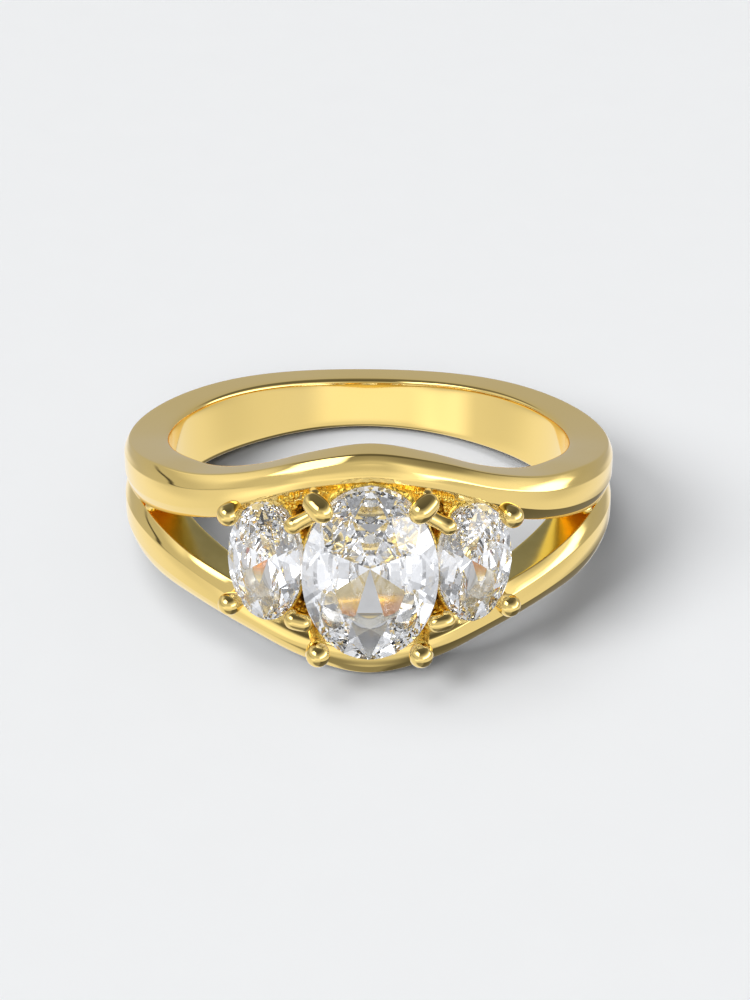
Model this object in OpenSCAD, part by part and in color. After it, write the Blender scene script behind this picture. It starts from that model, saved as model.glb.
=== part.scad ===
// Three-stone ring with a split shank. The finger axis is modelled along Z with the head
// at -Y, and at the end the whole ring is laid down on its side as it rests by itself.

/* [Finger hole] */
// Diameter of the finger hole, US size 7
bore_d = 17.3; // [16.9:0.1:18.1]
// Radius of the comfort edge where the hole meets a side face
edge_round = 0.2; // [0.15:0.05:0.25]

/* [Shank] */
// Width of the ring at the middle of the head
head_w = 9.6; // [9.4:0.1:10.2]
// Width of the shank at the back
shank_w = 2.4; // [2.3:0.1:3]
// Angle from the head at which the two rails join into one band
split_angle = 72; // [71:0.5:75]
// Bulge of the outer face between its bevel and its groove
face_bulge = 0.06; // [0.02:0.01:0.1]

/* [Stones] */
// Width of the middle oval stone, along the band
center_w = 5.44; // [5.3:0.01:5.5]
// Height of the middle oval stone, along the finger
center_h = 7.34; // [7.2:0.01:7.4]
// Depth of the middle stone below its girdle
center_depth = 2.12; // [2:0.01:2.14]
// Height of the middle stone above its girdle
center_crown = 0.78; // [0.6:0.01:0.9]
// Distance of the middle stone's girdle from the finger hole
center_reach = 2.19; // [2.19:0.01:2.3]
// Width of each side stone, along the band
side_w = 3.2; // [3.1:0.01:3.25]
// Height of each side stone, along the finger
side_h = 5.06; // [5:0.01:5.1]
// Depth of a side stone below its girdle
side_depth = 1.4; // [1.3:0.01:1.5]
// Height of a side stone above its girdle
side_crown = 0.5; // [0.4:0.01:0.6]
// Distance of a side stone's girdle from the finger hole
side_reach = 1.88; // [1.85:0.01:1.95]
// Angle round the band from the middle stone to a side stone
side_angle = 23.5; // [23.3:0.1:24]

/* [Setting] */
// Clearance between a stone and the metal that holds it
stone_gap = 0.07; // [0.05:0.01:0.08]
// Thickness of the pierced plate behind the stones
plate_t = 1.2; // [1.1:0.05:1.25]
// Angle from the middle of the head at which that plate ends
plate_angle = 27; // [26:0.5:28]

/* [Hidden] */

gold = [0.86, 0.66, 0.28];
crystal = [0.88, 0.91, 0.95];

bore_r = bore_d / 2;
wide = 40;           // longer than anything in the ring
bore_cut = 0.25;     // the band starts this far inside the hole, which then cuts it
corner_drop = 0.55;  // how far below the side face the band starts there
stone_faces = 64;    // points round a girdle

// The upper half of the band; the lower half is its mirror image. Columns:
// angle from the middle of the head,
// flare of the width, 1 at the head and 0 at the back,
// bevel, how far the outer face starts below the side face,
// groove, height above the middle plane at which the outer face ends,
// gap, half the height of the open split,
// rim, face and lip, how far the side face, the outer face and the split's edge stand
// out from the finger hole.
band_rows = [
    [  0, 1.000, 0.64, 3.66, 3.20, 1.40, 1.63, 1.35],
    [ 15, 0.867, 0.52, 3.16, 2.70, 1.33, 1.65, 1.35],
    [ 30, 0.622, 0.54, 2.22, 1.62, 1.36, 1.70, 1.45],
    [ 45, 0.436, 0.57, 1.36, 0.87, 1.50, 1.85, 1.57],
    [ 60, 0.339, 0.62, 0.88, 0.30, 1.65, 1.90, 1.60],
    [ split_angle, 0.258, 0.58, 0.68, 0, 1.72, 1.94, 1.64],
    [ 90, 0.153, 0.42, 0.50, 0, 1.75, 1.96, 1.86],
    [110, 0.096, 0.36, 0.45, 0, 1.70, 1.90, 1.86],
    [140, 0.064, 0.31, 0.40, 0, 1.60, 1.79, 1.78],
    [180, 0.000, 0.28, 0.35, 0, 1.55, 1.72, 1.71]
];
angle_at = 0;
flare_at = 1;
bevel_at = 2;
groove_at = 3;
gap_at = 4;
rim_at = 5;
face_at = 6;
lip_at = 7;

// Claws, in the frame of the stone that they hold: u along the band away from the middle
// stone, v along the finger, n outwards. Columns:
// tip u, v, n, root u, v, n, radius of the tip, radius of the shaft.
center_claw = [2.06, 3.22, 0.87, 2.14, 3.45, -1.15, 0.50, 0.43];
side_claws = [
    [ 1.32, 2.00, 0.47,  1.36, 2.16, -0.95, 0.44, 0.36],
    [-1.52, 2.12, 0.49, -1.92, 2.95, -0.35, 0.43, 0.36]
];

// Slope of a column at row i of the band, level at both ends of the half circle
function slope(i, c) =
    i == 0 || i == len(band_rows) - 1 ? 0 :
    (band_rows[i + 1][c] - band_rows[i - 1][c])
    / (band_rows[i + 1][angle_at] - band_rows[i - 1][angle_at]);

// Smooth value of a column at an angle a, by cubic pieces between the rows
function band(a, c, i = 0) =
    i < len(band_rows) - 2 && a > band_rows[i + 1][angle_at] ? band(a, c, i + 1) :
    let (
        a0 = band_rows[i][angle_at],
        step = band_rows[i + 1][angle_at] - a0,
        t = (a - a0) / step
    )
    band_rows[i][c] * (1 + 2 * t) * pow(1 - t, 2)
    + slope(i, c) * step * t * pow(1 - t, 2)
    + band_rows[i + 1][c] * (3 - 2 * t) * pow(t, 2)
    - slope(i + 1, c) * step * pow(t, 2) * (1 - t);

function half_width(a) = (shank_w + (head_w - shank_w) * band(a, flare_at)) / 2;
function split(a) = a >= split_angle ? 0 : max(0, band(a, gap_at));

// Upper half of the section at an angle a, as [radius, height] from the inner edge of the
// split up the finger hole, over the side face and down the outer face to the split
function section(a) =
    let (
        top = half_width(a),
        bevel = top - band(a, bevel_at),
        groove = band(a, groove_at),
        face = bore_r + band(a, face_at)
    )
    [
        [bore_r - bore_cut, split(a)],
        [bore_r - bore_cut, top - corner_drop],
        [bore_r + 0.3 * edge_round, top - 0.3 * edge_round],
        [bore_r + edge_round, top],
        [bore_r + band(a, rim_at), top],
        [face, bevel],
        [face + face_bulge, (bevel + groove) / 2],
        [face, groove],
        [bore_r + band(a, lip_at), split(a)]
    ];

front_steps = 18;
back_steps = 20;
half_turn = concat(
    [for (i = [0:front_steps]) split_angle * i / front_steps],
    [for (i = [1:back_steps]) split_angle + (180 - split_angle) * i / back_steps]
);
turn = concat(half_turn, [for (i = [len(half_turn) - 2:-1:1]) -half_turn[i]]);
stations = len(turn);
corners = 9;

function joined(k) = abs(turn[k]) >= split_angle;

// Index of corner j at station k, side 0 above the middle plane and 1 below it: where the
// rails are joined, both sides share the corners on that plane
function corner(k, j, side) =
    (side == 1 && joined(k) && (j == 0 || j == corners - 1) ? 0 : side * stations * corners)
    + k * corners + j;

// Two triangles between corners j and i of stations k and l
function patch(k, l, j, i, side) =
    let (a = corner(k, j, side), b = corner(l, j, side))
    let (c = corner(l, i, side), d = corner(k, i, side))
    side == 0 ? [[a, b, c], [a, c, d]] : [[a, c, b], [a, d, c]];

module shank() {
    points = [
        for (side = [1, -1]) for (a = turn) for (p = section(abs(a)))
            [p[0] * sin(a), -p[0] * cos(a), side * p[1]]
    ];
    faces = [
        for (side = [0, 1]) for (k = [0:stations - 1])
            let (l = (k + 1) % stations)
            for (j = [0:corners - 1])
                if (j < corners - 1 || !(joined(k) && joined(l)))
                    for (f = patch(k, l, j, (j + 1) % corners, side)) f
    ];
    polyhedron(points, faces, convexity = 8);
}

// Puts a piece in the frame of a stone: X along the band, Y along the finger, Z outwards
module at_stone(angle, reach) {
    rotate([0, 0, angle]) translate([0, -(bore_r + reach), 0]) rotate([90, 0, 0]) children();
}

module at_side_stones() {
    for (side = [0, 1]) mirror([side, 0, 0]) at_stone(side_angle, side_reach) children();
}

// Oval brilliant on its girdle plane: a table, 8 stars, 8 kites, 16 upper halves, the
// girdle, 16 lower halves and 8 mains that meet at the culet
table_share = 0.56;
star_share = 0.78;
lower_share = 0.26;
girdle_share = 0.045;

function round_point(a, r, z) = [r * cos(a), r * sin(a), z];

// Height at the angle a on the girdle of the plane through three points
function plane_height(a, p, q, s) =
    let (n = cross(q - p, s - p), x = cos(a) - p[0], y = sin(a) - p[1])
    p[2] - (n[0] * x + n[1] * y) / n[2];

module brilliant(w, h, crown, depth) {
    girdle = girdle_share * w;
    arc = 360 / stone_faces;
    per_half = stone_faces / 16;
    half_step = 22.5;
    main_h = (crown - girdle) * (1 - star_share * cos(half_step)) / (1 - table_share);
    star_z = girdle + main_h;
    low_z = -girdle - (depth - girdle) * (1 - lower_share * cos(half_step));
    tables = [for (k = [0:7]) round_point(45 * k, table_share, crown)];
    stars = [for (k = [0:7]) round_point(45 * k + half_step, star_share, star_z)];
    lows = [for (k = [0:7]) round_point(45 * k + half_step, lower_share, low_z)];
    // The facet that covers girdle point i ends at the multiples of half_step round it
    function rim_z(i, inner, z) =
        let (f = floor(i / per_half), a = half_step * f, b = a + half_step)
        plane_height(i * arc, inner[floor(f / 2)], round_point(a, 1, z), round_point(b, 1, z));
    upper = [for (i = [0:stone_faces - 1]) round_point(i * arc, 1, rim_z(i, stars, girdle))];
    lower = [for (i = [0:stone_faces - 1]) round_point(i * arc, 1, rim_z(i, lows, -girdle))];
    t0 = 0;
    s0 = 8;
    u0 = 16;
    l0 = u0 + stone_faces;
    p0 = l0 + stone_faces;
    culet = p0 + 8;
    function rim(i) = i % stone_faces;
    faces = concat(
        [[for (k = [7:-1:0]) t0 + k]],
        [for (k = [0:7]) [t0 + k, t0 + (k + 1) % 8, s0 + k]],
        [for (k = [0:7]) [s0 + (k + 7) % 8, t0 + k, s0 + k, u0 + rim(2 * k * per_half)]],
        [for (f = [0:15]) concat([s0 + floor(f / 2)],
            [for (i = [per_half:-1:0]) u0 + rim(f * per_half + i)])],
        [for (i = [0:stone_faces - 1])
            [u0 + i, u0 + rim(i + 1), l0 + rim(i + 1), l0 + i]],
        [for (f = [0:15]) concat([p0 + floor(f / 2)],
            [for (i = [0:per_half]) l0 + rim(f * per_half + i)])],
        [for (k = [0:7])
            [p0 + (k + 7) % 8, l0 + rim(2 * k * per_half), p0 + k, culet]]
    );
    all_points = concat(tables, stars, upper, lower, lows, [[0, 0, -depth]]);
    polyhedron([for (p = all_points) [p[0] * w / 2, p[1] * h / 2, p[2]]], faces, convexity = 4);
}

// Plain oval form round a stone, larger by the gap: it cuts the seat and the claws' notches
module stone_room(w, h, crown, depth) {
    sides = 32;
    girdle = girdle_share * w + stone_gap;
    flank = 1.5 * stone_gap;
    levels = [  // height, share of the outline
        [-depth - 2 * stone_gap, 0.02],
        [-girdle, 1],
        [girdle, 1],
        [crown + stone_gap, table_share + 0.12]
    ];
    points = [
        for (level = levels) for (i = [0:sides - 1])
            [level[1] * (w / 2 + flank) * cos(i * 360 / sides),
             level[1] * (h / 2 + flank) * sin(i * 360 / sides), level[0]]
    ];
    faces = concat(
        [[for (i = [0:sides - 1]) i]],
        [[for (i = [sides - 1:-1:0]) 3 * sides + i]],
        [for (m = [0:2]) for (i = [0:sides - 1])
            let (a = m * sides + i, b = m * sides + (i + 1) % sides)
            for (f = [[a, a + sides, b + sides], [a, b + sides, b]]) f]
    );
    polyhedron(points, faces, convexity = 2);
}

function oval(w, h, sides) = [for (i = [0:sides - 1])
    [w / 2 * cos(i * 360 / sides), h / 2 * sin(i * 360 / sides)]];

// A claw from its root in the metal to the rounded tip on the stone
module claw(c) {
    tip = [c[0], c[1], c[2]];
    root = [c[3], c[4], c[5]];
    way = tip - root;
    reach = norm(way);
    translate(root) rotate([0, acos(way[2] / reach), atan2(way[1], way[0])])
        cylinder(h = reach, r = c[7], $fn = 32);
    translate(tip) sphere(r = c[6], $fn = 32);
}

module claws() {
    at_stone(0, center_reach)
        for (x = [0, 1]) for (y = [0, 1]) mirror([x, 0, 0]) mirror([0, y, 0]) claw(center_claw);
    at_side_stones()
        for (c = side_claws) for (y = [0, 1]) mirror([0, y, 0]) claw(c);
}

// Curved plate between the rails, behind the stones, that runs a little into the rails
plate_overlap = 0.25;
module plate() {
    edge = [for (a = [-plate_angle:plate_angle / 9:plate_angle])
        [(bore_r + plate_t) * sin(a), band(abs(a), gap_at) + plate_overlap]];
    outline = concat(edge, [for (i = [len(edge) - 1:-1:0]) [edge[i][0], -edge[i][1]]]);
    intersection() {
        cylinder(h = head_w, r = bore_r + plate_t, center = true, $fn = 96);
        rotate([90, 0, 0]) linear_extrude(wide) polygon(outline);
    }
}

// Oval collar that stands up from the plate under a girdle, this much smaller than the stone
collar_top = -0.54;
center_inset = 0.3;
side_inset = 0.9;
module collar(w, h, inset, reach) {
    translate([0, 0, -reach]) linear_extrude(reach + collar_top)
        polygon(oval(w - inset, h - inset, 32));
}

// Oval well through the plate below a stone's seat
center_well = [2.6, 3.8, -1];    // width, height, level of its top
side_well = [1.2, 2.2, -0.8];
well_depth = 5;
module well(size) {
    translate([0, 0, -well_depth]) linear_extrude(well_depth + size[2])
        polygon(oval(size[0], size[1], 24));
}

module shank_and_head() {
    color(gold) difference() {
        union() {
            shank();
            plate();
            at_stone(0, center_reach) collar(center_w, center_h, center_inset, center_reach);
            at_side_stones() collar(side_w, side_h, side_inset, side_reach);
            claws();
        }
        cylinder(h = wide, r = bore_r, center = true, $fn = 96);
        at_stone(0, center_reach) {
            stone_room(center_w, center_h, center_crown, center_depth);
            well(center_well);
        }
        at_side_stones() {
            stone_room(side_w, side_h, side_crown, side_depth);
            well(side_well);
        }
    }
}

module center_stone() {
    color(crystal) at_stone(0, center_reach)
        brilliant(center_w, center_h, center_crown, center_depth);
}

module side_stone() {
    color(crystal) at_stone(side_angle, side_reach)
        brilliant(side_w, side_h, side_crown, side_depth);
}

// The ring rests on the lowest points of its side face at the head and at the back
front_r = bore_r + edge_round;
back_r = bore_r + band(180, rim_at);
rest_tilt = atan2(head_w / 2 - shank_w / 2, front_r + back_r);
rest_lift = head_w / 2 * cos(rest_tilt) - front_r * sin(rest_tilt);
front_reach = (bore_r + center_reach + center_claw[2]) * cos(rest_tilt)
    + center_claw[1] * sin(rest_tilt) + center_claw[6];
back_reach = (bore_r + band(180, face_at) + face_bulge) * cos(rest_tilt) + shank_w / 4 * sin(rest_tilt);

module at_rest() {
    translate([0, (front_reach - back_reach) / 2, rest_lift]) rotate([-rest_tilt, 0, 0])
        children();
}

at_rest() shank_and_head();
at_rest() center_stone();
at_rest() mirror([1, 0, 0]) side_stone();  // left_side_stone
at_rest() side_stone();  // right_side_stone
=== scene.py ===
import math
from collections import namedtuple

import bmesh
import bpy
from mathutils import Matrix, Vector, noise


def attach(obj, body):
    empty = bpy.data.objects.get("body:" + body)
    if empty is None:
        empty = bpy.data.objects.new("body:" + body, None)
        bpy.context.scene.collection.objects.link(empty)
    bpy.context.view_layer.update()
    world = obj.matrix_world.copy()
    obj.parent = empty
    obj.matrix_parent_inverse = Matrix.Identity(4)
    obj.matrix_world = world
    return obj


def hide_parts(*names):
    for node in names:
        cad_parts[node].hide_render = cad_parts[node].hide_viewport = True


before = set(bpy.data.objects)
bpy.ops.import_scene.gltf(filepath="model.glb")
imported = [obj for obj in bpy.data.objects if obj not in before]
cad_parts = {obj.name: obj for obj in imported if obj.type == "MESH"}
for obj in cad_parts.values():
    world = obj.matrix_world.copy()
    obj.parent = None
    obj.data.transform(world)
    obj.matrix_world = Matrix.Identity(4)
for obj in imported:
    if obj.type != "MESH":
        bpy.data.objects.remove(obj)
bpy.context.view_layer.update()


# Band
# Yellow gold, cast in one with the head and then filed and polished. It is one narrow band
# at the back that parts into two rails, which flare towards the stones.

# Sizes are in millimetres and angles in degrees from the middle of the head, which is at -Y.
# The finger axis is along Z until a finished piece is laid down.
hole_r = 8.65
head_w, back_w = 9.6, 2.4
parting = 72
ANGLE, FLARE, BEVEL, GROOVE, GAP, RIM, FACE, LIP = range(8)
rails = (
    # angle, flare, bevel, groove, gap, rim, face, lip
    (0, 1.000, 0.64, 3.66, 3.20, 1.40, 1.63, 1.35),
    (15, 0.867, 0.52, 3.28, 2.70, 1.33, 1.65, 1.35),
    (30, 0.622, 0.54, 2.22, 1.62, 1.36, 1.70, 1.45),
    (45, 0.436, 0.57, 1.36, 0.87, 1.50, 1.85, 1.57),
    (60, 0.339, 0.62, 0.88, 0.30, 1.65, 1.90, 1.60),
    (parting, 0.258, 0.58, 0.68, 0, 1.72, 1.94, 1.64),
    (90, 0.153, 0.42, 0.50, 0, 1.75, 1.96, 1.86),
    (110, 0.096, 0.36, 0.45, 0, 1.70, 1.90, 1.86),
    (140, 0.064, 0.31, 0.40, 0, 1.60, 1.79, 1.78),
    (180, 0.000, 0.28, 0.35, 0, 1.55, 1.72, 1.71),
)
# how far a face of the rail bulges, and the bevel beside the gap is hollow near the head
bulge, hollow = 0.04, 0.14
# a soft corner takes at most this share of the sides that meet in it
soft_limit = 0.4
steps_round = 120


def slope(i, column):
    if i in (0, len(rails) - 1):
        return 0.0
    before, after = rails[i - 1], rails[i + 1]
    return (after[column] - before[column]) / (after[ANGLE] - before[ANGLE])


def along_rail(angle, column):
    """Smooth value of a column at an angle from the middle of the head"""
    i = sum(row[ANGLE] < angle for row in rails[1:-1])
    low, high = rails[i], rails[i + 1]
    step = high[ANGLE] - low[ANGLE]
    t = (angle - low[ANGLE]) / step
    return (low[column] * (1 + 2 * t) * (1 - t) ** 2 + slope(i, column) * step * t * (1 - t) ** 2
            + high[column] * (3 - 2 * t) * t ** 2 - slope(i + 1, column) * step * t ** 2 * (1 - t))


def half_width(angle):
    return (back_w + (head_w - back_w) * along_rail(angle, FLARE)) / 2


def split(angle):
    return 0.0 if angle >= parting else max(0.0, along_rail(angle, GAP))


def share(value, start, end):
    """How far a value has come from a start to an end, held between 0 and 1"""
    return min(1, max(0, (value - start) / (end - start)))


def on_ring(turn, r, z):
    """The place at an angle, a distance from the finger axis and a height along it"""
    return r * math.sin(math.radians(turn)), -r * math.cos(math.radians(turn)), z


def rail_section(angle):
    """Upper half of the section as (radius, height), with three points to each soft corner"""
    top, gap = half_width(angle), split(angle)
    face, low = hole_r + along_rail(angle, FACE), top - along_rail(angle, BEVEL)
    at_head, ribbed = share(angle, 28, 0), share(angle, 95, 65)
    corners = (  # radius, height, softness, how much of the corner is filed off, crown after it
        (hole_r, gap, 0.06, 0.1, 0),
        (hole_r, top, 0.24, 0.35, 0),
        (hole_r + along_rail(angle, RIM), top, 0.10, 0.2, bulge),
        (face, low, 0.07 + 0.19 * at_head, 0.2 + 0.5 * at_head, 0.75 * bulge * ribbed),
        (face, along_rail(angle, GROOVE), 0.06, 0.15, bulge * ribbed - hollow * share(angle, 35, 28)),
        (hole_r + along_rail(angle, LIP), gap, 0.05, 0.1, 0),
    )
    places = [Vector(corner[:2]) for corner in corners]
    last_corner = len(corners) - 1
    points = []
    for i, (r, z, soft, filed, crown) in enumerate(corners):
        here, before, after = places[i], places[i - 1], places[(i + 1) % len(corners)]
        back, on = before - here, after - here
        first = here + back.normalized() * min(soft, soft_limit * back.length)
        last = here + on.normalized() * min(soft, soft_limit * on.length)
        joined = i in (0, last_corner) and angle >= parting
        middle = here if joined else here.lerp((first + last) / 2, filed)
        points += [first, middle, last]
        if i < last_corner:
            points.append(here + on / 2 + crown * Vector((-on.y, on.x)))
    return points


band = bmesh.new()
place_in_section = band.verts.layers.int.new("place in section")
start = [band.verts.new((0, -point.x, point.y)) for point in rail_section(0)]
for i, vert in enumerate(start):
    vert[place_in_section] = i
    band.edges.new((start[i - 1], vert))
split_wall = {len(start) - 2, len(start) - 1, 0, 1}
bmesh.ops.spin(band, geom=band.verts[:] + band.edges[:], cent=(0, 0, 0), axis=(0, 0, 1),
               angle=2 * math.pi, steps=steps_round, use_merge=True)
sections = {}
for vert in band.verts:
    turn = math.degrees(math.atan2(vert.co.x, -vert.co.y))
    angle = round(abs(turn), 3)
    if angle not in sections:
        sections[angle] = rail_section(angle)
    vert.co = on_ring(turn, *sections[angle][vert[place_in_section]])
# past the parting the two halves are one band, so the walls between them go
inner_walls = [f for f in band.faces if all(abs(v.co.z) < 1e-5 for v in f.verts)]
bmesh.ops.delete(band, geom=inner_walls, context="FACES")
bmesh.ops.mirror(band, geom=band.verts[:] + band.edges[:] + band.faces[:],
                 matrix=Matrix.Identity(4), merge_dist=1e-4, axis="Z")
bmesh.ops.remove_doubles(band, verts=[v for v in band.verts if abs(v.co.z) < 1e-4], dist=1e-4)
bmesh.ops.recalc_face_normals(band, faces=band.faces)
for face in band.faces:
    if {vert[place_in_section] for vert in face.verts} <= split_wall:
        face.material_index = 1


class Tone:
    """A socket of a finish, so that its sums are written as plain Python"""

    def __init__(self, tree, socket):
        self.tree, self.socket = tree, socket

    def add(self, kind, settings, inputs):
        node = self.tree.nodes.new(kind)
        for name, value in settings.items():
            setattr(node, name, value)
        self.feed(node, inputs)
        return node

    def feed(self, node, inputs):
        for name, value in inputs.items():
            if isinstance(value, Tone):
                self.tree.links.new(value.socket, node.inputs[name])
            else:
                node.inputs[name].default_value = value

    def tone(self, kind, settings, inputs, output=0):
        return Tone(self.tree, self.add(kind, settings, inputs).outputs[output])

    def sum(self, operation, first, second):
        return self.tone("ShaderNodeMath", {"operation": operation}, {0: first, 1: second})

    def __add__(self, other):
        return self.sum("ADD", self, other)

    __radd__ = __add__

    def __sub__(self, other):
        return self.sum("SUBTRACT", self, other)

    def __rsub__(self, other):
        return self.sum("SUBTRACT", other, self)

    def __mul__(self, other):
        return self.sum("MULTIPLY", self, other)

    __rmul__ = __mul__

    def blend(self, first, second):
        """A colour between two, by this tone"""
        return self.tone("ShaderNodeMix", {"data_type": "RGBA"},
                         {"Factor": self, 6: first, 7: second}, 2)

    def grain(self, scale, detail=2.0, roughness=0.5):
        """Noise at this place, as a tone from 0 to 1, with so many grains to the metre"""
        return self.tone("ShaderNodeTexNoise", {}, {"Vector": self, "Scale": scale,
                                                    "Detail": detail, "Roughness": roughness})

    def bump(self, strength, distance):
        return self.tone("ShaderNodeBump", {}, {"Height": self, "Strength": strength,
                                                "Distance": distance})


def new_finish(name):
    """An empty finish: its material, the place on the object as a tone, and its shader"""
    material = bpy.data.materials.new(name)
    material.use_nodes = True
    tree = material.node_tree
    place = Tone(tree, tree.nodes.new("ShaderNodeTexCoord").outputs["Object"])
    return material, place, tree.nodes["Principled BSDF"]


polished_gold, place, shader = new_finish("polished gold")
clouding = place.grain(260, 2)
fine = place.grain(5200, 3, 0.6)
place.feed(shader, {
    "Base Color": clouding.blend((0.95, 0.70, 0.23, 1), (0.97, 0.74, 0.28, 1)),
    "Metallic": 1.0,
    "Roughness": 0.05 + 0.03 * clouding + 0.01 * fine,
    "Normal": fine.bump(0.03, 0.00001),
})

split_gold, place, shader = new_finish("brushed gold inside the split")
brushed = place.grain(2400, 2)
place.feed(shader, {
    "Base Color": brushed.blend((0.97, 0.77, 0.25, 1), (0.98, 0.81, 0.31, 1)),
    "Metallic": 1.0,
    "Roughness": 0.16 + 0.08 * brushed,
})

# The ring lies on the rim of its hole at the head and on its side face at the back, with its
# length halved by the origin: the claws stand out furthest in front, the outer face behind.
hole_edge, face_bulge = 0.2, 0.06
claw_out, claw_up, claw_r = 3.06, 3.22, 0.5
front_r, back_r = hole_r + hole_edge, hole_r + rails[-1][RIM]
lean = math.atan2((head_w - back_w) / 2, front_r + back_r)
lift = head_w / 2 * math.cos(lean) - front_r * math.sin(lean)
front_reach = (hole_r + claw_out) * math.cos(lean) + claw_up * math.sin(lean) + claw_r
back_reach = (hole_r + rails[-1][FACE] + face_bulge) * math.cos(lean) + back_w / 4 * math.sin(lean)
to_metres = 0.001
laid_down = (Matrix.Scale(to_metres, 4) @ Matrix.Translation((0, (front_reach - back_reach) / 2, lift))
             @ Matrix.Rotation(-lean, 4, "X"))


def finished(shape, name, finish, smoothing, node="shank_and_head"):
    """Lays a shape down as the ring lies and makes it a piece that stands for a solid"""
    bmesh.ops.transform(shape, matrix=laid_down, verts=shape.verts)
    mesh = bpy.data.meshes.new(name)
    shape.to_mesh(mesh)
    shape.free()
    mesh.materials.append(finish)
    piece = bpy.data.objects.new(name, mesh)
    bpy.context.scene.collection.objects.link(piece)
    if smoothing:
        soft = piece.modifiers.new("soft edges", "SUBSURF")
        soft.levels = soft.render_levels = smoothing
    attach(piece, "root")
    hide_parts(node)
    return piece


def rounded(shape):
    """Shades a shape as one round surface"""
    for face in shape.faces:
        face.smooth = True
    return shape


finished(rounded(band), "band", polished_gold, 2).data.materials.append(split_gold)


# Gallery
# The cast ground between the rails, in one with them: a curved plate with an oval well
# behind each stone. Its grain is left as it was cast, and only the raised seats round the
# wells are cut bright.
Seat = namedtuple("Seat", "angle reach width height crown depth well_w well_h")
middle_seat = Seat(angle=0, reach=2.19, width=5.44, height=7.34, crown=0.78, depth=2.12,
                   well_w=2.6, well_h=3.8)
left_seat, right_seat = (Seat(angle=angle, reach=1.88, width=3.2, height=5.06, crown=0.5, depth=1.4,
                              well_w=1.2, well_h=2.2) for angle in (-23.5, 23.5))
seats = (middle_seat, left_seat, right_seat)
gallery_angle = 29
# from this angle outwards the ground is tucked in by a share of the groove's height above
# and of the rail's below
tucked_from, tuck_above, tuck_below = 10, 0.09, 0.9
# thickness of the ground, and how much thicker it grows between two heights
ground_t, thinnest = 0.4, 0.12
swell, swell_from, swell_to = 0.9, 1.5, 2.4
# a deep notch between the middle stone and each side stone
notch_angle, notch_reach, notch_depth = 13.5, 4, 0.9
notch_low, notch_full, notch_high = 1.5, 2.4, 2.9
# height and fineness of the lumps that casting leaves, and how deep the ground lies at a rail
lumpy = ((0.09, 3.3), (0.08, 7.7))
sunk = 0.02
# how far out from the middle of a seat its foot, its brow and its bowl's edge lie, with 1 on
# the stone's outline, and how far its ledge and its bowl lie below the stone's girdle
foot, brow, bowl_edge = 1.12, 1.01, 0.98
ledge_down, bowl_down = 0.42, 0.55


def aside(turn, seat):
    """Distance along the band from the middle of a seat"""
    return (hole_r + seat.reach) * math.sin(math.radians(turn - seat.angle))


def out_of_stone(turn, z, seat):
    """Place of a point of the gallery behind a stone: 0 in the middle, 1 on its outline"""
    return math.hypot(aside(turn, seat) / (seat.width / 2), z / (seat.height / 2))


def out_of_well(turn, z, seat):
    """The same for the well in the middle of a seat"""
    return math.hypot(aside(turn, seat) / (seat.well_w / 2), z / (seat.well_h / 2))


def out_of_stones(turn, z):
    return min(out_of_stone(turn, z, seat) for seat in seats)


def ground_edge(turn, up):
    """Height at which the cast ground ends: above under the rail, below beside its bevel"""
    angle, tucked = abs(turn), share(abs(turn), 0, tucked_from)
    groove = along_rail(angle, GROOVE)
    if up > 0:
        return groove * (1 - tuck_above * tucked)
    return groove - tuck_below * tucked * (groove - split(angle))


def ground_r(turn, z):
    """Distance of the cast ground from the finger axis"""
    angle, height = abs(turn), abs(z)
    gap, groove = split(angle), along_rail(angle, GROOVE)
    r = hole_r + ground_t + swell * share(height, swell_from, swell_to)
    if height > notch_low:
        r -= (notch_depth * share(abs(angle - notch_angle), notch_reach, 0)
              * share(height, notch_high, notch_full))
    if height > gap:
        lip, face = along_rail(angle, LIP), along_rail(angle, FACE)
        r = hole_r - sunk + lip + share(height, gap, groove) * (face - lip)
    for seat in seats:
        out = out_of_stone(turn, z, seat)
        if out < foot:
            down = ledge_down if out > bowl_edge else bowl_down + seat.depth * (bowl_edge - out)
            raised = math.hypot(aside(turn, seat), hole_r + seat.reach - down)
            rising = share(out, foot, brow)
            r += (raised - r) * rising * rising * (3 - 2 * rising)
    return max(r, hole_r + thinnest)


gallery = bmesh.new()
bmesh.ops.create_grid(gallery, x_segments=180, y_segments=130, size=1)
for vert in gallery.verts:
    turn = vert.co.x * gallery_angle
    vert.co = (turn, vert.co.y * ground_edge(turn, vert.co.y), 0)
for seat in seats:
    centres = [(face, face.calc_center_median()) for face in gallery.faces]
    well = [face for face, at in centres if out_of_well(at.x, at.y, seat) < 1]
    bmesh.ops.delete(gallery, geom=well, context="FACES")
    # the ragged edge that is left is drawn in to the oval
    for vert in gallery.verts:
        out = out_of_well(vert.co.x, vert.co.y, seat)
        if vert.is_boundary and out < 1.3:
            vert.co.x = seat.angle + (vert.co.x - seat.angle) / out
            vert.co.y /= out
ground = bmesh.ops.extrude_face_region(gallery, geom=gallery.faces[:], use_keep_orig=True)
outer = {v for v in ground["geom"] if isinstance(v, bmesh.types.BMVert)}
inside_r = hole_r + 0.002
for vert in gallery.verts:
    turn, z = vert.co.x, vert.co.y
    r = inside_r
    if vert in outer:
        r = ground_r(turn, z)
        if out_of_stones(turn, z) > bowl_edge:
            spot = Vector((r * math.radians(turn), z, 0))
            r += sum(height * noise.noise(spot * fineness) for height, fineness in lumpy)
    vert.co = on_ring(turn, r, z)
bmesh.ops.recalc_face_normals(gallery, faces=gallery.faces)
if gallery.calc_volume(signed=True) < 0:
    bmesh.ops.reverse_faces(gallery, faces=gallery.faces)
cut_bright = 0.96
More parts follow.
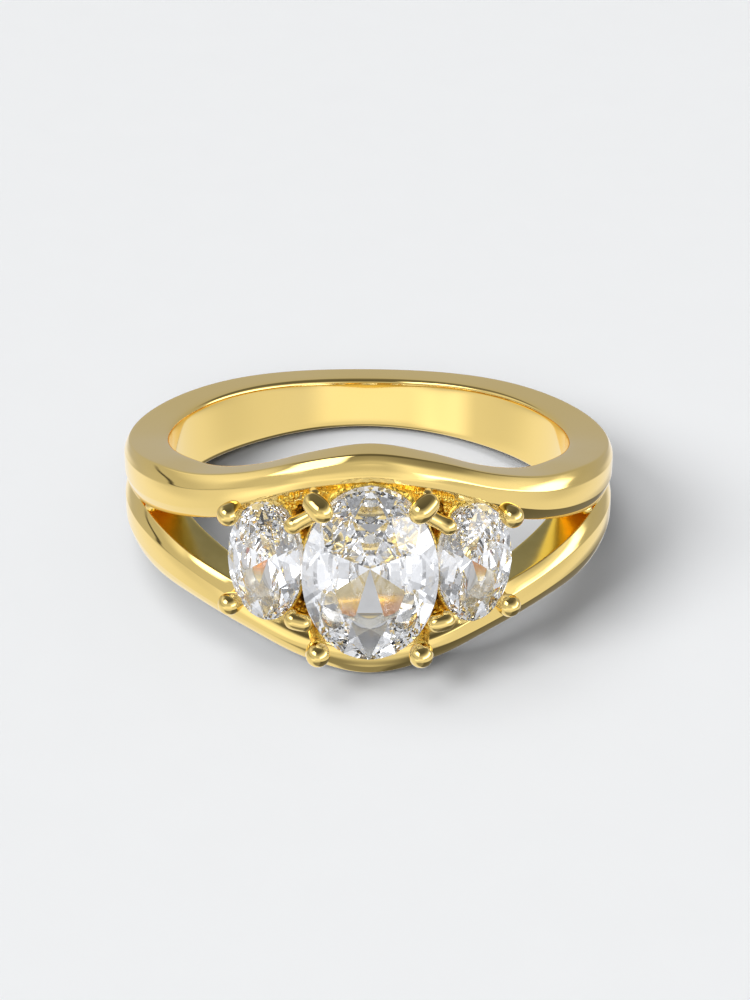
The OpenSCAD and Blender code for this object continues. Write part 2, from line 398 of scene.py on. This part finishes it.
for face in gallery.faces:
    x, y, z = face.calc_center_median()
    turn = math.degrees(math.atan2(x, -y))
    if math.hypot(x, y) < hole_r + 0.05:
        face.material_index = 2
    elif abs(turn) < gallery_angle - 0.5 and out_of_stones(turn, z) < cut_bright:
        face.material_index = 1

# grains of the casting skin, strewn over the ground between the seats and the rails
grains, smallest, spread = 1100, 0.06, 0.08
clear_of_seat, clear_of_middle = 1.06, 1.9
noise.seed_set(5)
for i in range(grains):
    turn, up, size = gallery_angle * (2 * noise.random() - 1), 2 * noise.random() - 1, noise.random()
    z = math.copysign(math.sqrt(abs(up)), up) * ground_edge(turn, up)
    if out_of_stones(turn, z) > clear_of_seat and abs(z) > clear_of_middle:
        spot = Matrix.Translation(on_ring(turn, ground_r(turn, z), z))
        bmesh.ops.create_icosphere(gallery, subdivisions=2, radius=smallest + spread * size,
                                   matrix=spot)

cast_gold, place, shader = new_finish("cast gold with painted shade")
# painted shade: the ground and the claws' roots are painted dark brown the nearer they lie to the
# finger axis, so the deep recesses between the stones look shaded
painted_shade_r, unshaded_r = 9.2 * to_metres, 9.8 * to_metres
finger_axis = (laid_down.to_3x3() @ Vector((0, 0, 1))).normalized()
from_origin = place.tone("ShaderNodeVectorMath", {"operation": "SUBTRACT"},
                         {0: place, 1: tuple(laid_down.translation)})
across = from_origin.tone("ShaderNodeVectorMath", {"operation": "CROSS_PRODUCT"},
                          {0: from_origin, 1: tuple(finger_axis)})
from_axis = across.tone("ShaderNodeVectorMath", {"operation": "LENGTH"}, {0: across}, 1)
out_of_painted_shade = from_axis.tone("ShaderNodeMapRange", {}, {"Value": from_axis, "From Min": painted_shade_r,
                                                  "From Max": unshaded_r})
lumps = place.grain(4200, 4, 0.7)
pits = place.grain(9000, 2, 0.6)
# painted shade: the skin is darker orange in the hollows between its lumps and paler yellow on their
# tops
skin_with_shaded_hollows = lumps.blend((0.80, 0.46, 0.02, 1), (1.0, 0.76, 0.20, 1))
place.feed(shader, {
    "Base Color": out_of_painted_shade.blend((0.25, 0.14, 0.01, 1), skin_with_shaded_hollows),
    "Metallic": 0.85,
    "Roughness": 0.06 + 0.1 * pits,
    "Normal": (lumps + 0.5 * pits).bump(0.3, 0.0001),
})

bright_seat, place, shader = new_finish("polished seat")
sheen = place.grain(1500, 2)
place.feed(shader, {
    "Base Color": sheen.blend((0.96, 0.93, 0.84, 1), (0.98, 0.96, 0.90, 1)),
    "Metallic": 1.0,
    "Roughness": 0.10 + 0.1 * sheen,
})
gallery_piece = finished(rounded(gallery), "gallery", cast_gold, 0)
gallery_piece.data.materials.append(bright_seat)
gallery_piece.data.materials.append(polished_gold)


# Claws
# Round gold wires that stand up from the gallery, bent over each stone's edge and rounded
# to beads. The two beside the top of the middle stone are bars that lie along the gallery,
# and one more on each side fills the blunt end of the split between the rails.
def at_stone(seat):
    """Puts X along the band, Y along the finger and Z outwards, on a stone's girdle plane"""
    return (Matrix.Rotation(math.radians(seat.angle), 4, "Z")
            @ Matrix.Translation((0, -(hole_r + seat.reach), 0))
            @ Matrix.Rotation(math.radians(90), 4, "X"))


def wire(shape, where, root, tip, shaft, bead, egg=1.0):
    """A round wire from its root to a rounded tip, an egg of that length in diameters"""
    root, tip = Vector(root), Vector(tip)
    reach = (tip - root).length
    profile = [(0, -shaft)]
    for a in (-65, -40, -15):
        profile.append((shaft * math.cos(math.radians(a)), shaft * math.sin(math.radians(a))))
    for a in range(-40 if reach > bead else 0, 90, 20):
        narrowing = 1 - 0.08 * (egg - 1) * a / 10
        profile.append((bead * math.cos(math.radians(a)) * narrowing,
                        reach + bead * egg * math.sin(math.radians(a))))
    profile.append((0, reach + bead * egg))
    claw = bmesh.new()
    line = [claw.verts.new((r, 0, z)) for r, z in profile]
    for low, high in zip(line, line[1:]):
        claw.edges.new((low, high))
    bmesh.ops.spin(claw, geom=claw.verts[:] + claw.edges[:], cent=(0, 0, 0), axis=(0, 0, 1),
                   angle=2 * math.pi, steps=20, use_merge=True)
    bmesh.ops.remove_doubles(claw, verts=claw.verts, dist=1e-4)
    bmesh.ops.recalc_face_normals(claw, faces=claw.faces)
    stand = (tip - root).to_track_quat("Z", "Y").to_matrix().to_4x4()
    bmesh.ops.transform(claw, matrix=where @ Matrix.Translation(root) @ stand, verts=claw.verts)
    part = bpy.data.meshes.new("claw")
    claw.to_mesh(part)
    claw.free()
    shape.from_mesh(part)
    bpy.data.meshes.remove(part)


stems, claws = bmesh.new(), bmesh.new()
middle = at_stone(middle_seat)
split_end, split_deep, split_out = 66.5, 8.98, 9.98
# each wire is given by its root, its tip, its radius, the radius of its tip and its egg
for side, seat in ((-1, left_seat), (1, right_seat)):
    beside = at_stone(seat)
    # eggs over the top of the middle stone, beads under it
    wire(claws, middle, (2.26 * side, 3.10, -0.9), (2.20 * side, 3.46, 0.20), 0.28, 0.24)
    wire(claws, middle, (2.24 * side, 3.18, 0.42), (1.98 * side, 2.99, 0.64), 0.47, 0.52, 1.12)
    wire(stems, middle, (2.14 * side, -2.80, -0.9), (2.06 * side, -3.05, 0.45), 0.40, 0.36)
    wire(claws, middle, (2.10 * side, -3.27, 0.35), (2.06 * side, -3.21, 0.80), 0.49, 0.51)
    # outer beads of a side stone
    for up in (-1, 1):
        bead_up = 1.96 * up - 0.02
        wire(stems, beside, (1.34 * side, 1.72 * up, -0.8), (1.38 * side, 1.90 * up, 0.1), 0.28, 0.30)
        wire(claws, beside, (1.36 * side, 2.02 * up, 0.1), (1.42 * side, bead_up, 0.42), 0.42, 0.49)
    # inner claws of a side stone: a bar above, a bead below
    wire(claws, beside, (-2.50 * side, 2.64, 0.05), (-1.42 * side, 1.96, 0.38), 0.35, 0.37, 1.1)
    wire(stems, beside, (-1.92 * side, -2.75, -0.6), (-1.66 * side, -2.30, 0.1), 0.37, 0.36)
    wire(claws, beside, (-1.80 * side, -2.22, 0.34), (-1.46 * side, -2.14, 0.42), 0.40, 0.42)
    # the end of the split
    at_split = Matrix.Rotation(math.radians(split_end * side), 4, "Z")
    wire(claws, at_split, (0, -split_deep, 0), (0, -split_out, 0), 0.30, 0.30)
# the roots are left as uneven as they were cast
for vert in stems.verts:
    vert.co += 0.05 * noise.noise_vector(vert.co * 5)
# the gold beside the claws shows no mirror images of them
finished(rounded(claws), "claws", polished_gold, 1).visible_glossy = False
finished(rounded(stems), "claw_stems", cast_gold, 1).visible_glossy = False


# Stones
# Three colourless cubic zirconias in the oval brilliant cut. Each is one crystal, ground with
# 57 facets on a lap and polished, and held by its four claws.
crystal, place, shader = new_finish("cut zirconia")
veil = place.grain(700, 2)
place.feed(shader, {
    "Base Color": veil.blend((0.86, 0.90, 0.95, 1), (1, 1, 1, 1)),
    "Roughness": 0.0,
    "IOR": 2.17,
    "Transmission Weight": 1.0,
})
# shares of the stone's radius at which the table, its star facets and the lower halves end
table, star, culet_share = 0.56, 0.78, 0.6
girdle_share = 0.045
rod_sides = 64
# distance from the middle to a side of an octagon and of a figure of 16 sides, corners at 1
half, quarter = math.cos(math.radians(22.5)), math.cos(math.radians(11.25))


def cut_stone(node, seat):
    """Grinds an oval brilliant out of a rod, facet by facet"""
    girdle = girdle_share * seat.width
    kite, main = (seat.crown - girdle) / (1 - table), -(seat.depth - girdle)
    rows = (  # first turn, number of facets, a radius and height on them, how steep they fall
        (0, 8, 1, girdle, kite),
        (22.5, 8, table * half, seat.crown, kite * (star * half - table) / (star - table * half)),
        (11.25, 16, quarter, girdle, kite * (1 - star * half) / (quarter * (1 - star))),
        (0, 8, 1, -girdle, main),
        (11.25, 16, quarter, -girdle,
         main * (1 - culet_share * half) / (quarter * (1 - culet_share))),
    )
    stone = bmesh.new()
    bmesh.ops.create_cone(stone, cap_ends=True, segments=rod_sides, radius1=1, radius2=1,
                          depth=2 * seat.depth,
                          matrix=Matrix.Translation((0, 0, seat.crown - seat.depth)))
    for first, count, r, z, fall in rows:
        for k in range(count):
            turn = math.radians(first + 360 * k / count)
            out = Vector((math.cos(turn), math.sin(turn), 0))
            bmesh.ops.bisect_plane(stone, geom=stone.verts[:] + stone.edges[:] + stone.faces[:],
                                   dist=1e-5, plane_co=out * r + Vector((0, 0, z)), clear_outer=True,
                                   plane_no=out * abs(fall) + Vector((0, 0, math.copysign(1, fall))))
            bmesh.ops.holes_fill(stone, edges=[edge for edge in stone.edges if edge.is_boundary])
    bmesh.ops.remove_doubles(stone, verts=stone.verts, dist=2e-4)
    bmesh.ops.recalc_face_normals(stone, faces=stone.faces)
    bmesh.ops.scale(stone, vec=(seat.width / 2, seat.height / 2, 1), verts=stone.verts)
    bmesh.ops.transform(stone, matrix=at_stone(seat), verts=stone.verts)
    finished(stone, "cut_" + node, crystal, 0, node)


for node, seat in zip(("center_stone", "left_side_stone", "right_side_stone"), seats):
    cut_stone(node, seat)


# Floor
# A plain pale board, matt and laid flat, on which the ring rests. It is no part of the ring
# and only reaches past the edges of the picture.
floor_half = 1.5
floor_shape = bmesh.new()
bmesh.ops.create_grid(floor_shape, x_segments=1, y_segments=1, size=floor_half)
floor_mesh = bpy.data.meshes.new("floor")
floor_shape.to_mesh(floor_mesh)
floor_shape.free()
floor = bpy.data.objects.new("floor", floor_mesh)
bpy.context.scene.collection.objects.link(floor)
pale, place, shader = new_finish("pale surface")
mottle = place.grain(400, 1)
place.feed(shader, {
    "Base Color": mottle.blend((0.835, 0.845, 0.855, 1), (0.845, 0.855, 0.865, 1)),
    "Roughness": 0.55 + 0.05 * mottle,
})
floor_mesh.materials.append(pale)
# the gold and the stones mirror the floor that is drawn into the room instead
floor.visible_glossy = floor.visible_transmission = False


# Light
# A grey room, dim above and behind, with a wide lit window high on the left and a low one
# on the right. The gold mirrors this room, in which a pale floor and the ring's own shadow
# on it are drawn softly below. Wide soft lamps stand for the windows and throw the shadow.
world = bpy.data.worlds.new("studio")
bpy.context.scene.world = world
world.use_nodes = True
tree = world.node_tree
towards = Tone(tree, tree.nodes.new("ShaderNodeTexCoord").outputs["Generated"])
parts = towards.add("ShaderNodeSeparateXYZ", {}, {0: towards})
rightward, backward, upward = (Tone(tree, parts.outputs[axis]) for axis in "XYZ")
bearing = rightward.sum("ARCTAN2", rightward, -1 * backward) * math.degrees(1)
rise = upward.tone("ShaderNodeMath", {"operation": "ARCSINE"}, {0: upward}) * math.degrees(1)


def fade(value, low, high):
    return value.tone("ShaderNodeMapRange", {"interpolation_type": "SMOOTHSTEP"},
                      {"Value": value, "From Min": low, "From Max": high})


def pane(left, right, low, high, soft, blur):
    """A pane of light, from left to right and low to high in degrees, with its soft margins"""
    across = fade(bearing, left, left + soft) - fade(bearing, right - soft, right)
    return across * (fade(rise, low, low + blur) - fade(rise, high - blur, high))


behind = fade(-1 * backward, 0.55, -0.7)
fall = -1 * rise
# the room itself, dimmer above
level = 0.64 - 0.14 * behind - 0.05 * behind * rightward
level -= 0.34 * fade(rise, 30 - 8 * behind, 46 - 12 * behind)
level -= 0.20 * fade(rise, 44, 60) * (1 - behind)
panes = (  # brightness, left, right, low, high, margins at the sides, above and below
    (0.38, -45, 40, -20, 16, 20, 14),  # a glow straight in front
    (3.0, -88, -24, 29, 60, 12, 5),  # the high window on the left
    (0.50, -140, -78, 12, 52, 14, 20),  # the wall beyond it
    (0.45, 8, 120, -4, 38, 20, 16),  # the wall on the right
    (2.6, 22, 114, 1, 20, 10, 5),  # the low window in that wall
    (-0.50, -125, -56, 0, 5, 12, 2),  # a dark sill on the left
)
for glow, *edges in panes:
    level += glow * pane(*edges)
# the pale floor, brighter at the lower left
level += 0.20 * fade(fall, 2, 12) * (1 - behind)
level += 0.45 * fade(fall, 16, 26) * behind
level += 0.42 * pane(-66, -22, -26, -6, 16, 8)
# the ring's own shadow on it, to the right and in front
level -= 0.72 * fade(fall, 30, 35) * (fade(bearing, 15, 35) - fade(bearing, 150, 172))
level -= 0.56 * fade(fall, 30, 46) * (fade(bearing, -62, -40) - fade(bearing, 15, 35))
shade = level.tone("ShaderNodeCombineXYZ", {}, {0: level, 1: level, 2: level * 1.02})
shade.feed(tree.nodes["Background"], {"Color": shade, "Strength": 1.0})
# the room is only mirrored: what isn't polished takes its light from the lamps
world.cycles_visibility.diffuse = False


def lamp(name, from_side, from_rise, width, power):
    """A wide soft sun, which the polished gold doesn't mirror"""
    light = bpy.data.lights.new(name, "SUN")
    light.energy, light.angle = power, math.radians(width)
    piece = bpy.data.objects.new(name, light)
    piece.rotation_euler = (0, math.radians(90 - from_rise), math.radians(from_side - 90))
    piece.visible_glossy = piece.visible_transmission = False
    bpy.context.scene.collection.objects.link(piece)


lamp("window", from_side=-58, from_rise=38, width=30, power=2.1)
lamp("front_window", from_side=-6, from_rise=34, width=32, power=1.2)
lamp("skylight", from_side=-112, from_rise=68, width=40, power=1.05)
lamp("overhead", from_side=0, from_rise=88, width=110, power=0.36)


# Camera
# It stands in front of the ring and above it, at the photograph's angle, and sees the ring
# from as far away as the photograph was taken.
above, yaw, roll = math.radians(22.53), math.radians(0.5), math.radians(0.6)
distance = 106.2
# in pixels: the size of the picture, the middle of the finger hole in it, and the lens
picture_w, picture_h = 750, 1000
hole_x, hole_y = 368.45, 472.08
focal = 2423.75
sensor_h = 24
aim = Vector((hole_x - picture_w / 2, hole_y - picture_h / 2)) * distance / focal
facing = Matrix(((1, 0, 0),
                 (0, math.sin(above), -math.cos(above)),
                 (0, math.cos(above), math.sin(above))))
turned = Matrix.Rotation(-yaw, 3, "Z") @ Matrix.Rotation(-roll, 3, "Y")
stand = turned @ (facing @ Vector((-aim.x, aim.y, distance)))
camera = bpy.data.objects.new("camera", bpy.data.cameras.new("camera"))
camera.matrix_world = (Matrix.Translation(laid_down @ stand)
                       @ (laid_down.to_3x3().normalized() @ turned @ facing).to_4x4())
camera.data.sensor_fit = "VERTICAL"
camera.data.sensor_height = sensor_h
camera.data.lens = sensor_h * focal / picture_h
camera.data.clip_start = 0.001
camera.data.clip_end = 10
bpy.context.scene.collection.objects.link(camera)
bpy.context.scene.camera = camera
bpy.context.scene.view_settings.view_transform = "Standard"
bpy.context.scene.cycles.glossy_bounces = 16
bpy.context.scene.cycles.caustics_reflective = False
bpy.context.scene.cycles.transmission_bounces = 16
bpy.context.scene.cycles.max_bounces = 24
